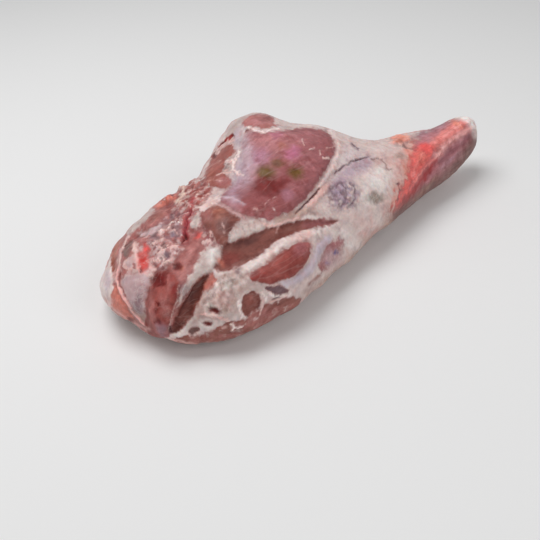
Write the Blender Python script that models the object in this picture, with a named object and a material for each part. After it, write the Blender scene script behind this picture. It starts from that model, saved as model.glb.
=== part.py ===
"""Raw whole leg of lamb, bone in, lying on its outer side: one solid of meat and fat.

Metres, +Z up. The leg lies along X, with its cut chump end at -X and its shank end at +X.
Its near side, where the muscles part in strips, faces -Y. The origin is at the middle of
the bounding box, on the surface that the leg rests on.
"""

import math

import bmesh
import bpy
import numpy as np

NODE = "lamb_leg"

# The box of the plain leg, before its forms are raised and it is smoothed.
LENGTH = 0.408
WIDTH = 0.208
HEIGHT = 0.096

# At each share of LENGTH: the near side and far side, as shares of WIDTH; the underside, the
# widest level and the top, as shares of HEIGHT; and how far the crest leans to the far side, as
# a share of WIDTH. A negative underside is pressed flat.
STATIONS = {
    0.00: (0.26, 0.62, 0.05, 0.27, 0.53, 0.00),
    0.07: (0.15, 0.735, 0.00, 0.25, 0.61, 0.00),
    0.15: (0.045, 0.81, -0.04, 0.24, 0.71, 0.00),
    0.25: (0.025, 0.86, -0.04, 0.25, 0.82, 0.00),
    0.33: (0.045, 0.875, -0.04, 0.27, 0.87, 0.01),
    0.40: (0.08, 0.90, -0.04, 0.30, 0.94, 0.05),
    0.47: (0.105, 0.96, -0.04, 0.32, 1.03, 0.13),
    0.54: (0.125, 0.94, -0.04, 0.33, 0.985, 0.125),
    0.60: (0.145, 0.88, -0.04, 0.33, 0.88, 0.07),
    0.67: (0.165, 0.74, -0.03, 0.32, 0.755, 0.02),
    0.74: (0.185, 0.58, 0.01, 0.32, 0.65, 0.00),
    0.81: (0.195, 0.49, 0.06, 0.34, 0.63, 0.00),
    0.88: (0.21, 0.43, 0.13, 0.37, 0.61, 0.00),
    0.95: (0.235, 0.41, 0.20, 0.41, 0.62, 0.00),
    1.00: (0.25, 0.41, 0.24, 0.44, 0.63, 0.00),
}
TOP_CURVE = 0.95
UNDER_CURVE = 0.75
CHUMP_ROUND = 0.09
SHANK_ROUND = 0.05

STEPS_LONG = 64
STEPS_SIDE = 16
SMOOTH_PASSES = 2
CHUMP_CAP_STEPS = 0.058
SHANK_CAP_STEPS = 0.024

# A line through the meat, from which every form swells or sinks.
CORE_LINE = [
    (-0.135, -0.010, 0.025), (0.000, 0.000, 0.030), (0.100, -0.045, 0.035), (0.190, -0.045, 0.042)
]

# The broad dome of the topside muscle, seen from above.
TOPSIDE_CENTRE = (-0.028, -0.008)
TOPSIDE_HALF = (0.070, 0.058)
TOPSIDE_TURN = math.radians(12)
TOPSIDE_RISE = 0.005
# The dome fades out between these two heights on the leg's sides.
TOPSIDE_FADE = (0.038, 0.086)

# Strands of muscle and fat that stand up from the leg, and the grooves between them:
# radius, height (a groove's is negative), and the points that each runs through.
STRANDS = {
    "tongue": (0.017, 0.007, [(-0.164, -0.050, 0.058), (-0.182, -0.051, 0.047), (-0.191, -0.057, 0.024)]),
    "tongue_groove": (
        0.014, -0.009, [(-0.158, -0.068, 0.056), (-0.172, -0.070, 0.048), (-0.180, -0.074, 0.034)]
    ),
    "tongue_far_groove": (0.010, -0.003, [(-0.172, -0.034, 0.055), (-0.190, -0.035, 0.045)]),
    "round_muscle": (0.026, 0.006, [(-0.114, -0.036, 0.074), (-0.102, -0.032, 0.076)]),
    "ribbed_fat": (0.011, 0.004, [(-0.119, -0.056, 0.070), (-0.088, -0.062, 0.070)]),
    "upper_strip": (
        0.018, -0.003, [(-0.136, -0.070, 0.062), (-0.080, -0.074, 0.064), (-0.026, -0.078, 0.058)]
    ),
    "white_band": (
        0.010, 0.003, [(-0.126, -0.084, 0.057), (-0.080, -0.082, 0.062), (-0.050, -0.083, 0.059)]
    ),
    "lower_strip": (0.018, 0.003, [(-0.120, -0.092, 0.050), (-0.075, -0.092, 0.052)]),
    "topside_gap": (
        0.014, -0.004, [(-0.064, -0.066, 0.071), (-0.025, -0.056, 0.076), (0.006, -0.040, 0.079)]
    ),
    "knee": (0.036, 0.005, [(0.010, -0.072, 0.055), (0.032, -0.068, 0.052)]),
    "knee_gap": (0.016, -0.003, [(0.030, -0.040, 0.074), (0.058, -0.040, 0.064)]),
    "shank_ridge": (0.014, 0.003, [(0.096, -0.050, 0.057), (0.132, -0.050, 0.058), (0.186, -0.046, 0.056)]),
    "shank_hollow": (0.018, -0.003, [(0.105, -0.066, 0.036), (0.165, -0.058, 0.044)]),
    "outer_fold": (0.014, 0.003, [(-0.196, -0.030, 0.016), (-0.192, 0.010, 0.016), (-0.172, 0.044, 0.020)]),
    "dome_step": (0.022, -0.005, [(-0.088, 0.050, 0.060), (-0.074, 0.062, 0.052), (-0.064, 0.076, 0.040)]),
}

# Small crags of the cut end, up and down in turn, spread in a spiral over an oval of its top.
CRAG_CENTRE = (-0.146, -0.002)
CRAG_LOWEST = 0.032
CRAG_SPREAD = (0.036, 0.044)
CRAG_COUNT = 22
CRAG_RADIUS = 0.012
CRAG_HEIGHT = 0.0035
GOLDEN_ANGLE = math.pi * (3 - math.sqrt(5))

SMOOTH_SHARE = 0.5

MEAT_COLOUR = (0.42, 0.20, 0.18, 1)
MEAT_ROUGHNESS = 0.4


def smooth_through(x, keys, values):
    """A smooth curve through the keys: cubic pieces whose slopes never overshoot."""
    keys = np.asarray(keys, float)
    values = np.asarray(values, float)
    gaps = np.diff(keys)
    rises = np.diff(values) / gaps
    slopes = np.zeros_like(values)
    before, after = rises[:-1], rises[1:]
    turning = before * after <= 0
    slopes[1:-1] = np.where(turning, 0, 2 * before * after / np.where(turning, 1, before + after))
    slopes[0] = rises[0]
    slopes[-1] = rises[-1]
    x = np.clip(x, keys[0], keys[-1])
    i = np.clip(np.searchsorted(keys, x, side="right") - 1, 0, len(gaps) - 1)
    t = (x - keys[i]) / gaps[i]
    start = (1 + 2 * t) * (1 - t) ** 2 * values[i] + t * (1 - t) ** 2 * gaps[i] * slopes[i]
    end = t * t * (3 - 2 * t) * values[i + 1] - t * t * (1 - t) * gaps[i] * slopes[i + 1]
    return start + end


def leg_section(along, angle, fullness):
    """Points of the plain leg. fullness runs from 0 on the axis to 1 on the skin."""
    keys = list(STATIONS)
    rows = np.array(list(STATIONS.values()))
    near, far, low, wide, top, lean = (smooth_through(along, keys, column) for column in rows.T)
    across = np.cos(angle)
    up = np.sin(angle)
    above = (top - wide) * np.abs(up) ** TOP_CURVE
    below = (low - wide) * np.abs(up) ** UNDER_CURVE
    y = (near + far) / 2 + fullness * ((far - near) / 2 * across + lean * np.clip(up, 0, 1))
    z = wide + fullness * np.where(up > 0, above, below)
    return y * WIDTH, z * HEIGHT


def box_grid():
    """A box of quads whose long sides run along X and whose ends are square grids."""
    bm = bmesh.new()
    verts = {}
    n, m = STEPS_SIDE, STEPS_LONG

    def vert(i, j, k):
        key = (i, j, k)
        if key not in verts:
            verts[key] = bm.verts.new((i / m, 2 * j / n - 1, 2 * k / n - 1))
        return verts[key]

    def quad(*keys):
        bm.faces.new([vert(*key) for key in keys])

    for j in range(n):
        for k in range(n):
            quad((0, j, k), (0, j, k + 1), (0, j + 1, k + 1), (0, j + 1, k))
            quad((m, j, k), (m, j + 1, k), (m, j + 1, k + 1), (m, j, k + 1))
    for i in range(m):
        for j in range(n):
            quad((i, j, 0), (i, j + 1, 0), (i + 1, j + 1, 0), (i + 1, j, 0))
            quad((i, j, n), (i + 1, j, n), (i + 1, j + 1, n), (i, j + 1, n))
            quad((i, 0, j), (i + 1, 0, j), (i + 1, 0, j + 1), (i, 0, j + 1))
            quad((i, n, j), (i, n, j + 1), (i + 1, n, j + 1), (i + 1, n, j))
    return bm


def mesh_points(bm):
    return np.array([v.co for v in bm.verts])


def place(bm, points):
    for v, point in zip(bm.verts, points):
        v.co = point
    bm.normal_update()


def even_angle(side, level):
    """The angle round the section, in even steps along each side of the square."""
    sideways = np.abs(side) >= np.abs(level)
    longer = np.where(sideways, side, level)
    shorter = np.where(sideways, level, side)
    slant = math.pi / 4 * shorter / np.where(longer == 0, 1, longer)
    start = np.where(sideways, math.pi * (side < 0), math.pi / 2 * np.sign(level))
    return start + np.where(sideways, slant, -slant)


def loft_leg(bm):
    """Bend the box into the plain leg, with both ends rounded over."""
    share, side, level = mesh_points(bm).T
    ring = np.maximum(np.abs(side), np.abs(level))
    angle = even_angle(side, level)
    # A walk over the skin: from the middle of the chump end, along the leg, to the shank's tip.
    walk = CHUMP_CAP_STEPS + share * (1 - CHUMP_CAP_STEPS - SHANK_CAP_STEPS)
    walk = np.where(share == 0, CHUMP_CAP_STEPS * ring, walk)
    walk = np.where(share == 1, 1 - SHANK_CAP_STEPS * ring, walk)
    chump_turn = np.clip(walk / (2 * CHUMP_CAP_STEPS), 0, 1) * math.pi / 2
    shank_turn = np.clip((1 - walk) / (2 * SHANK_CAP_STEPS), 0, 1) * math.pi / 2
    straight = (walk - 2 * CHUMP_CAP_STEPS) / (1 - 2 * CHUMP_CAP_STEPS - 2 * SHANK_CAP_STEPS)
    along = CHUMP_ROUND * (1 - np.cos(chump_turn)) + SHANK_ROUND * np.cos(shank_turn)
    along += (1 - CHUMP_ROUND - SHANK_ROUND) * np.clip(straight, 0, 1)
    y, z = leg_section(along, angle, np.sin(chump_turn) * np.sin(shank_turn))
    place(bm, np.stack([(along - 0.5) * LENGTH, y - WIDTH / 2, z], axis=-1))


def swell(distance, radius, height):
    """A soft round rise that is height at its middle and nothing past its radius."""
    return height * np.clip(1 - (distance / radius) ** 2, 0, 1) ** 2


def gap_from_path(points, path):
    """For each point, the arrow to it from the nearest point of the path, and its length."""
    path = np.array(path)
    arrow = np.zeros((len(points), 3))
    length = np.full(len(points), np.inf)
    for start, end in zip(path[:-1], path[1:]):
        run = end - start
        share = np.clip((points - start) @ run / (run @ run), 0, 1)
        gap = points - start - share[:, None] * run
        gap_length = np.linalg.norm(gap, axis=1)
        closer = gap_length < length
        arrow[closer] = gap[closer]
        length = np.minimum(length, gap_length)
    return arrow, length


def topside_swell(points):
    offset = points[:, :2] - TOPSIDE_CENTRE
    cos, sin = math.cos(TOPSIDE_TURN), math.sin(TOPSIDE_TURN)
    long_way = (offset[:, 0] * cos + offset[:, 1] * sin) / TOPSIDE_HALF[0]
    short_way = (offset[:, 1] * cos - offset[:, 0] * sin) / TOPSIDE_HALF[1]
    low, high = TOPSIDE_FADE
    upper_side = np.clip((points[:, 2] - low) / (high - low), 0, 1)
    return swell(np.hypot(long_way, short_way), 1.0, TOPSIDE_RISE) * upper_side


def crag_swell(points):
    total = np.zeros(len(points))
    for i in range(CRAG_COUNT):
        reach = math.sqrt((i + 0.5) / CRAG_COUNT)
        turn = i * GOLDEN_ANGLE
        x = CRAG_CENTRE[0] + CRAG_SPREAD[0] * reach * math.cos(turn)
        y = CRAG_CENTRE[1] + CRAG_SPREAD[1] * reach * math.sin(turn)
        apart = np.hypot(points[:, 0] - x, points[:, 1] - y)
        height = CRAG_HEIGHT if i % 2 else -CRAG_HEIGHT
        total += swell(apart, CRAG_RADIUS, height) * (points[:, 2] > CRAG_LOWEST)
    return total


def add_forms(bm):
    """Raise the muscles and cut the grooves, straight out from the core line."""
    points = mesh_points(bm)
    rise = topside_swell(points) + crag_swell(points)
    for radius, height, path in STRANDS.values():
        rise += swell(gap_from_path(points, path)[1], radius, height)
    arrow, length = gap_from_path(points, CORE_LINE)
    place(bm, points + arrow * (rise / length)[:, None])
    for _ in range(SMOOTH_PASSES):
        bmesh.ops.smooth_vert(
            bm, verts=bm.verts, factor=SMOOTH_SHARE, use_axis_x=True, use_axis_y=True, use_axis_z=True
        )


def rest_on_floor(bm):
    """Centre the leg and press its underside flat."""
    points = mesh_points(bm)
    points[:, 2] = np.maximum(points[:, 2], 0)
    middle = (points.min(0) + points.max(0)) / 2
    place(bm, points - (middle[0], middle[1], 0))


def meat_material():
    material = bpy.data.materials.new("meat_and_fat")
    material.use_nodes = True
    shader = material.node_tree.nodes["Principled BSDF"]
    shader.inputs["Base Color"].default_value = MEAT_COLOUR
    shader.inputs["Roughness"].default_value = MEAT_ROUGHNESS
    shader.inputs["Metallic"].default_value = 0.0
    return material


def lamb_leg():
    bm = box_grid()
    bmesh.ops.recalc_face_normals(bm, faces=bm.faces)
    loft_leg(bm)
    add_forms(bm)
    rest_on_floor(bm)
    bmesh.ops.triangulate(bm, faces=bm.faces)
    mesh = bpy.data.meshes.new(NODE)
    bm.to_mesh(mesh)
    bm.free()
    mesh.shade_smooth()
    mesh.materials.append(meat_material())
    leg = bpy.data.objects.new(NODE, mesh)
    bpy.context.scene.collection.objects.link(leg)


def main():
    for obj in list(bpy.data.objects):
        bpy.data.objects.remove(obj)
    lamb_leg()


main()
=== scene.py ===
"""Looks of a raw whole leg of lamb: its muscles, fat, membranes and their finish.

Metres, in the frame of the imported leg: its chump end at -X, its shank end at +X, +Z up.
What the photo shows is drawn in the photo's pixels, 540 by 540, and laid on the leg from
where the camera stands. The sides that it doesn't show have muscles and fat of the same kinds.
"""

import math

import bmesh
import bpy
import numpy as np
from mathutils import Matrix, Vector, noise


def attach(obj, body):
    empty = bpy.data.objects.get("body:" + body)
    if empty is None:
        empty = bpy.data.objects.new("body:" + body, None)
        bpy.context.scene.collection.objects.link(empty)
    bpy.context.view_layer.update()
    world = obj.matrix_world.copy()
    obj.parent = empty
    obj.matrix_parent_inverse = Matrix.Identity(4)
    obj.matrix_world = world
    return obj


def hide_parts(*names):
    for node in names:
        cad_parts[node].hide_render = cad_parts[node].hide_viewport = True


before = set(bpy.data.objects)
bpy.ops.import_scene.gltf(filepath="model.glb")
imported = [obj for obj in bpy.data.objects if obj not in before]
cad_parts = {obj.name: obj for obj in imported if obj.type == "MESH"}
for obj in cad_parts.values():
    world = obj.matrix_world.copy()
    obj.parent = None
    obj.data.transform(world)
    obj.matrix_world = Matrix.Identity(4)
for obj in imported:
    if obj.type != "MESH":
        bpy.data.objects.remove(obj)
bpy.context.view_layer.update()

NODE = "lamb_leg"
MILLIMETRE = 0.001
# Keeps a division by a run of no length from failing.
TINY = 1e-12

# The camera, worked out from the photo's perspective.
CAMERA_PLACE = (-0.4243, -0.4617, 0.3948)
CAMERA_YAW = math.radians(-39.77)
CAMERA_PITCH = math.radians(34.90)
CAMERA_ROLL = math.radians(-3.97)
LENS_MM = 53.64
SENSOR_MM = 36.0
PHOTO_SIDE = 540

# The floor, the point that the lamps aim at, and the light from all around.
FLOOR_REACH = 6.0
FLOOR_COLOUR = (0.86, 0.86, 0.86, 1)
LAMP_AIM = (0, 0, 0.04)
DAYLIGHT = 0.30

# The fine mesh, and the rounds and shares that even out its steps.
VOXEL = 0.00141
WELD = 0.00001
SMOOTH_ROUNDS = 14
SMOOTH_IN = 0.55
SMOOTH_OUT = -0.57

# Where the outline is eased: the middle and half size of the place and the shift, in pixels.
OUTLINE_SHIFTS = [
    ((214, 140), (34, 34), (3.6, 1.4)), ((198, 174), (16, 16), (2.5, 1.5)),
    ((254, 114), (22, 20), (0.0, -2.5)), ((290, 121), (26, 18), (0.0, 3.2)),
    ((358, 138), (42, 24), (0.0, 4.0)), ((108, 262), (24, 34), (3.4, 1.0)),
    ((130, 323), (34, 26), (3.0, -5.0)), ((186, 343), (24, 18), (0.0, 3.0)),
    ((272, 318), (48, 32), (-1.8, -3.2)), ((350, 259), (28, 24), (1.8, 2.3)),
    ((425, 196), (40, 32), (-1.4, -2.0)), ((474, 131), (14, 18), (-2.0, 0.0)),
    ((103, 284), (22, 24), (-4.2, 0.5)), ((121, 236), (14, 14), (1.2, 1.0)),
    ((213, 146), (12, 12), (-1.2, -0.8)), ((226, 128), (14, 12), (1.6, 1.4)),
    ((292, 122), (34, 14), (0.0, 1.6)), ((401, 212), (24, 18), (-1.2, -1.4)),
    ((376, 234), (18, 14), (-1.0, -1.0)), ((306, 294), (26, 18), (-1.6, -2.2)),
    ((240, 336), (28, 14), (-0.5, -2.6)),
]
# Up to the first height a shift up or down the photo slides points along the rest, and from the
# second on it lifts or lowers them.
SHIFT_HEIGHTS = (0.004, 0.04)

# Where the photo's forms fade out as the surface turns from the camera, and where those of
# the far side fade in as it turns to +Y.
PHOTO_FADE = (-0.10, 0.12)
FAR_FADE = (-0.3, 0.2)

# Ragged edges: their size, how far they stray in pixels, and where in the noise they are read.
RAGGED_SIZE = 0.005
RAGGED_REACH = 1.8
RAGGED_SHIFTS = (3.1, 17.7)

# How the softness of edges varies: the size of its clouds, its mean, swing and limits.
SOFTNESS_SIZE = 0.016
SOFTNESS_SHIFT = 29.0
SOFTNESS_MEAN = 1.1
SOFTNESS_SWING = 0.9
SOFTNESS_LIMITS = (0.45, 2.0)

# The share of a run that the rounding of a corner takes off at each end.
CORNER_CUT = 0.25
# A spot is whole up to the second share of its half size and gone at the first.
SPOT_FADE = (1.2, 0.25)
# How far out the points of a spot or an area are looked for: a multiple of its half size or
# of its softness, and pixels more.
SPOT_SEARCH = (1.5, 4)
AREA_SEARCH = (3, 2)
# How many pixels outside its outline an area starts to rise.
AREA_FOOT = 1
# How much wider than its colour the height of a narrow form is.
STRIP_FOOT = 1.3
# Where the lumps and the clouds of a mottle are read in the noise, and how sharp the clouds are.
LUMP_SHIFT = 60.0
CLOUD_SHIFT = 90.0
CLOUD_STEP = 7.3
CLOUD_EDGE = (-0.05, 0.3)

# How the noise falls off and narrows from one octave to the next.
NOISE_FALL = 1.0
NOISE_STEP = 2.0
# Low lumps all over: height in millimetres, size and place in the noise.
LUMPS = [(0.5, 0.014, 40.0), (0.2, 0.0045, 8.0)]
# The height above the rest from which the surface is raised in full.
REST_FADE = 0.006
# The muscle fibres run along the leg, so their pattern is stretched that way.
FIBRE_STRETCH = (0.12, 1.0, 1.0)

# How strongly painted shade darkens hollows and painted light pales what stands proud: rounds
# of averaging, the depth that counts as full, the share.
HOLLOW_SCALES = [(3, 0.0005, 0.30), (20, 0.0016, 0.30)]
HOLLOW_LIMITS = (-0.6, 1)
HOLLOW_SHADE_TINT = (0.8, 1.1, 1.1)
# How much painted shade darkens a muscle where it meets its edge.
RIM_SHADE = 0.25

# The finish. Scales of bundles to fibres and of clouds to lobules, how crooked the webs are in
# metres, and from which to which value of their noise clouds and torn edges come in.
BUNDLE_SCALE = 0.3
LOBULE_CLOUD_SCALE = 0.35
CROOKED = (0.012, 0.012, 0.012)
TONE_CLOUDS = (0.48, 0.68)
WEB_PATCHES = (0.46, 0.6)
TORN_EDGE = (0.1, 0.9)
# How much of the lobules membrane hides, how much glossier it is, how dark and deep lobules
# and fibres are, and the roughness in the dampest and the driest places.
FILM_HIDES = 0.85
FILM_GLOSS = 0.1
LOBULE_SHADE = 0.16
FIBRE_SHADE = 0.45
FIBRE_HEIGHT = 0.5
SHEEN_CLOUDS = (0.3, 0.7)
DAMP_TO_DRY = (0.4, 0.6)

# Colours in even light, as 8-bit sRGB, but violet sheen is a painted sheen and dark slit is
# painted shade. A form is of the tissue that its colour belongs to, unless it names another.
LEAN_COLOURS = {
    "topside pink": (167, 102, 105), "topside brown": (151, 83, 84), "pale pink": (184, 119, 121),
    "violet sheen": (170, 118, 138), "lavender": (183, 156, 172), "magenta": (195, 114, 144),
    "olive": (106, 74, 28), "ochre": (168, 97, 79), "maroon": (118, 27, 25),
    "dark slit": (92, 46, 50), "brown lean": (142, 84, 75), "dark lean": (108, 58, 53),
    "red lean": (148, 70, 64), "warm lean": (159, 90, 82), "rose lean": (173, 107, 103),
    "orange lean": (206, 120, 106), "blood": (214, 60, 53), "crimson": (172, 50, 62),
    "shank red": (238, 108, 100), "bright red": (234, 90, 88), "shank dark": (176, 44, 48),
    "shank pink": (226, 132, 127), "mauve": (190, 124, 130), "dark mauve": (152, 86, 96),
    "dark lilac": (128, 97, 103), "grey mottle": (136, 114, 126), "violet spot": (104, 94, 146),
    "grey brown": (128, 96, 91),
}
FAT_COLOURS = {
    "pale stripe": (238, 168, 163), "cream": (222, 200, 196), "pinkish fat": (220, 174, 168),
    "grey fat": (190, 166, 161), "moss grey": (156, 147, 136), "yellow fat": (220, 188, 166),
    "orange fat": (228, 134, 112), "dull brown fat": (183, 150, 140), "white fat": (234, 206, 202),
    "tan rim": (168, 126, 110), "bone white": (240, 226, 222),
}
FILM_COLOURS = {"silver": (198, 177, 186), "lilac": (190, 156, 158)}
COLOURS = {**LEAN_COLOURS, **FAT_COLOURS, **FILM_COLOURS}


def tissue_of(colour):
    if colour in FILM_COLOURS:
        return "film"
    return "fat" if colour in FAT_COLOURS else "lean"


def round_corners(path, closed):
    """The path with its corners cut twice, so that it curves."""
    path = np.array(path, float)
    for _ in range(2):
        after = np.roll(path, -1, axis=0) if closed else path[1:]
        before = path if closed else path[:-1]
        cut = np.empty((2 * len(before), 2))
        cut[0::2] = (1 - CORNER_CUT) * before + CORNER_CUT * after
        cut[1::2] = CORNER_CUT * before + (1 - CORNER_CUT) * after
        path = cut if closed else np.concatenate([path[:1], cut, path[-1:]])
    return path


def area(colour, outline, rise=0, edge=6, soft=2, ragged=1.3, strength=1, tissue=None):
    """A broad form: it reaches its rise, in millimetres, at edge pixels inside its outline."""
    return {
        "tissue": tissue or tissue_of(colour), "colour": colour,
        "line": round_corners(outline, True), "rise": rise, "edge": edge, "soft": soft,
        "ragged": ragged, "strength": strength,
    }


def strand(colour, path, width, rise=0, soft=1.3, ragged=0.8, strength=1, tissue=None):
    """A narrow form along a path: a strand that stands up, or a slit that sinks."""
    return {
        "tissue": tissue or tissue_of(colour), "colour": colour,
        "line": round_corners(path, False), "width": width, "rise": rise, "soft": soft,
        "ragged": ragged, "strength": strength,
    }


def streak(colour, path, width, rise=0, soft=2, ragged=0.8, strength=0.8):
    """A strand or slit that only changes the colour of what it crosses."""
    return strand(colour, path, width, rise, soft, ragged, strength, "tint")


def spot(colour, middle, half, strength=0.8, turn=0, rise=0, tissue="tint", ragged=1.5):
    """A soft oval of another colour."""
    return {
        "tissue": tissue, "colour": colour, "middle": middle, "half": half,
        "turn": math.radians(turn), "rise": rise, "ragged": ragged, "strength": strength,
    }


def mottle(outline, colours, size, rise=0, soft=3, shift=0):
    """An area of small lumps with clouds of each (tissue, colour, strength) in turn."""
    return {
        "line": round_corners(outline, True), "colours": colours, "size": size, "rise": rise,
        "edge": 6, "soft": soft, "ragged": 1.5, "shift": shift,
    }


# The forms by name, from the lowest layer to the highest. Those that the photo shows are drawn
# in its pixels.

# The knee, its fat and the slit above it.
KNEE = {
    "grey side": spot("silver", (345, 155), (18, 14), 0.5),
    "warm side": spot("pinkish fat", (392, 160), (22, 14), 0.5),
    "lavender fold": streak("lavender", [(336, 190), (343, 178), (352, 169), (365, 164)], 15,
        soft=6, strength=0.75),
    "knee mottle": mottle([(332, 184), (343, 180), (354, 184), (359, 195), (354, 209), (340, 211),
        (329, 203), (327, 192)], [("tint", "grey mottle", 0.85), ("tint", "dark lilac", 0.7),
        ("tint", "grey mottle", 0.6), ("tint", "lavender", 0.7)], 0.0045, 0.7, soft=5),
    "mottle arc": streak("grey mottle", [(350, 183), (356, 191), (354, 201), (348, 208)], 2.4,
        -0.5, soft=1.3),
    "mottle inner arc": streak("grey mottle", [(341, 184), (347, 190), (346, 200), (341, 206)],
        2.2, -0.4, soft=1.3, strength=0.6),
    "mottle bright": spot("bone white", (366, 196), (6, 14), 0.6, 10),
    "green white": spot("bone white", (380, 180), (17, 15), 0.95),
    "moss shade": spot("moss grey", (376, 198), (11, 7), 0.85, rise=-0.8),
    # Painted shade in the slit above the knee: grey along it, darker at its end.
    "knee slit": strand("grey mottle", [(334, 174), (346, 164), (357, 160), (367, 158)], 2.4,
        -1.2, soft=2, strength=0.8, tissue="fat"),
    "knee slit end": streak("dark slit", [(351, 162), (358, 159), (365, 158)], 2, -0.8, soft=1.3,
        strength=0.7),
    "slit trail": streak("grey brown", [(372, 159), (381, 160), (384, 165), (391, 170)], 1.8,
        -0.5, soft=1.3, ragged=1.5, strength=0.6),
    "knee dash": streak("grey mottle", [(352, 144), (358, 149)], 2.8, -0.9, soft=1.3,
        strength=0.9),
    "orange patch": spot("orange fat", (400, 139), (13, 7), 0.9, 8, ragged=2.5, rise=2.2),
    "orange core": spot("ochre", (399, 141), (5, 3), 0.7, 20),
    "orange side": spot("orange lean", (392, 138), (3, 2), 0.7),
    "orange foot": spot("crimson", (408, 140), (2.5, 1.5), 0.5),
    "pink by the shank": spot("pinkish fat", (408, 151), (9, 6), 0.7, rise=0.4),
    "red wash": streak("orange fat", [(414, 148), (408, 168), (402, 188), (394, 212)], 13, soft=8,
        ragged=2.5, strength=0.7),
    "pinkish flank": spot("pinkish fat", (398, 178), (9, 26), 0.4, 12),
    "red thread": streak("crimson", [(398, 184), (400, 190), (397, 200), (392, 208)], 1.6,
        soft=1.2, ragged=2, strength=0.5),
    "red thread high": streak("crimson", [(404, 160), (398, 168), (400, 176)], 1.4, soft=1.2,
        ragged=2, strength=0.35),
    "grey arc": streak("grey brown", [(403, 146), (410, 149), (417, 148)], 1.8, -0.5, soft=1.3,
        strength=0.7),
    # Painted shade on the fat by the shank, in a dull grey-brown.
    "brown shade": spot("dull brown fat", (400, 156), (8, 4)),
    # Painted shade in three small sunken pits.
    "dot by the shank": spot("dark slit", (397, 184), (2.2, 2), 0.7, rise=-0.4),
    "dot by the shank 2": spot("dark slit", (400, 189), (2.2, 2), 0.6, rise=-0.4),
    "dot by the shank 3": spot("dark slit", (397, 198), (1.6, 4), 0.5, rise=-0.4),
    "knee pink": spot("pinkish fat", (362, 235), (7, 5), 0.6),
    "tan edge": streak("tan rim", [(392, 222), (370, 243), (350, 261), (330, 280), (312, 294)],
        12, soft=6),
    "edge blush": spot("pinkish fat", (366, 226), (26, 10), 0.35, -38),
    "knee low light": spot("bone white", (347, 240), (17, 12), 0.6, -30),
    "side light": spot("bone white", (345, 156), (12, 9), 0.45),
    "white edge": streak("grey fat", [(320, 282), (310, 290), (300, 299)], 6, 0.3, soft=3,
        strength=0.7),
}

# The bare shank, red by the knee and mauve to its tip.
SHANK = {
    "shank": area("mauve", [(414, 136), (440, 122), (466, 110), (484, 125), (476, 150),
        (452, 182), (420, 207), (390, 226), (396, 198), (406, 178), (412, 158)], soft=5,
        ragged=2.5),
    "shank red": area("shank red", [(411, 150), (424, 146), (438, 144), (434, 153), (430, 161),
        (424, 168), (418, 179), (412, 191), (404, 205), (392, 216), (396, 200), (403, 185),
        (409, 170)], soft=5, ragged=3, strength=0.9),
    "shank dark": area("shank dark", [(436, 158), (435, 167), (427, 179), (418, 192), (409, 205),
        (399, 212), (403, 201), (413, 187), (421, 175), (429, 164)], -0.5, soft=3.5, ragged=1,
        strength=0.95),
    "shank upper pink light": area("shank pink", [(426, 146), (437, 135), (448, 126), (457, 119),
        (466, 117), (472, 121), (464, 130), (450, 139), (440, 148), (431, 152)], 0.4, soft=3.5,
        ragged=0.8),
    "shank salmon": spot("orange fat", (457, 124), (10, 4), 0.6, -35),
    "pink streak": streak("pale stripe", [(462, 124), (452, 130), (443, 137)], 2, 0.2, soft=1.8,
        ragged=0.4, strength=0.4),
    "bright red": spot("bright red", (426, 148), (10, 6), 0.8, -15, ragged=0.6),
    "low red": spot("shank dark", (403, 204), (5, 9), 0.6, -35),
    "high shade": spot("shank dark", (436, 160), (5, 3), 0.6, -40),
    # Painted highlights: light pink streaks along wet ridges of the shank.
    "wet highlight streak": streak("shank pink", [(441, 154), (430, 162), (422, 171), (415, 182)], 2.4, 0.4,
        soft=1.8, ragged=0.6),
    "wet highlight streak left": streak("pale stripe", [(424, 152), (417, 164), (412, 176)], 1.6, 0.3,
        soft=1.6, ragged=1, strength=0.35),
    "orange red": spot("orange lean", (421, 158), (6, 8), 0.5),
    "pale stripe": streak("pale stripe", [(437, 155), (444, 147), (453, 139), (463, 133),
        (471, 128)], 5, 0.5, soft=3, ragged=0.5, strength=0.85),
    "mauve line": streak("dark mauve", [(441, 161), (449, 153), (459, 146), (469, 137)], 5, -0.3,
        soft=3, ragged=0.5, strength=0.75),
    "lilac streak": streak("lavender", [(442, 167), (450, 160), (458, 153)], 2.4, soft=2.5,
        ragged=0.5, strength=0.4),
    # Painted shade on the shank's underside, where it turns from the light: a grey-brown band
    # with a darker strip in it.
    "shank underside shade": streak("grey brown", [(480, 138), (472, 153), (460, 168), (445, 180),
        (431, 191), (416, 204), (400, 217)], 17, soft=6, strength=0.95),
    "shank low shade": streak("dark lean", [(476, 146), (464, 163), (448, 178), (432, 191)], 8,
        soft=6, strength=0.5),
    "tan line": streak("tan rim", [(436, 177), (427, 187), (415, 200)], 2.6, 0.2, strength=0.45),
    "shank top edge": streak("grey mottle", [(414, 137), (422, 134), (431, 130), (443, 124)], 5,
        soft=3, ragged=0.5, strength=0.5),
    "shank tip": streak("bone white", [(457, 116), (464, 116), (470, 119), (475, 126),
        (477, 134)], 7, soft=4, ragged=0.3, strength=0.85),
}

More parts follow.
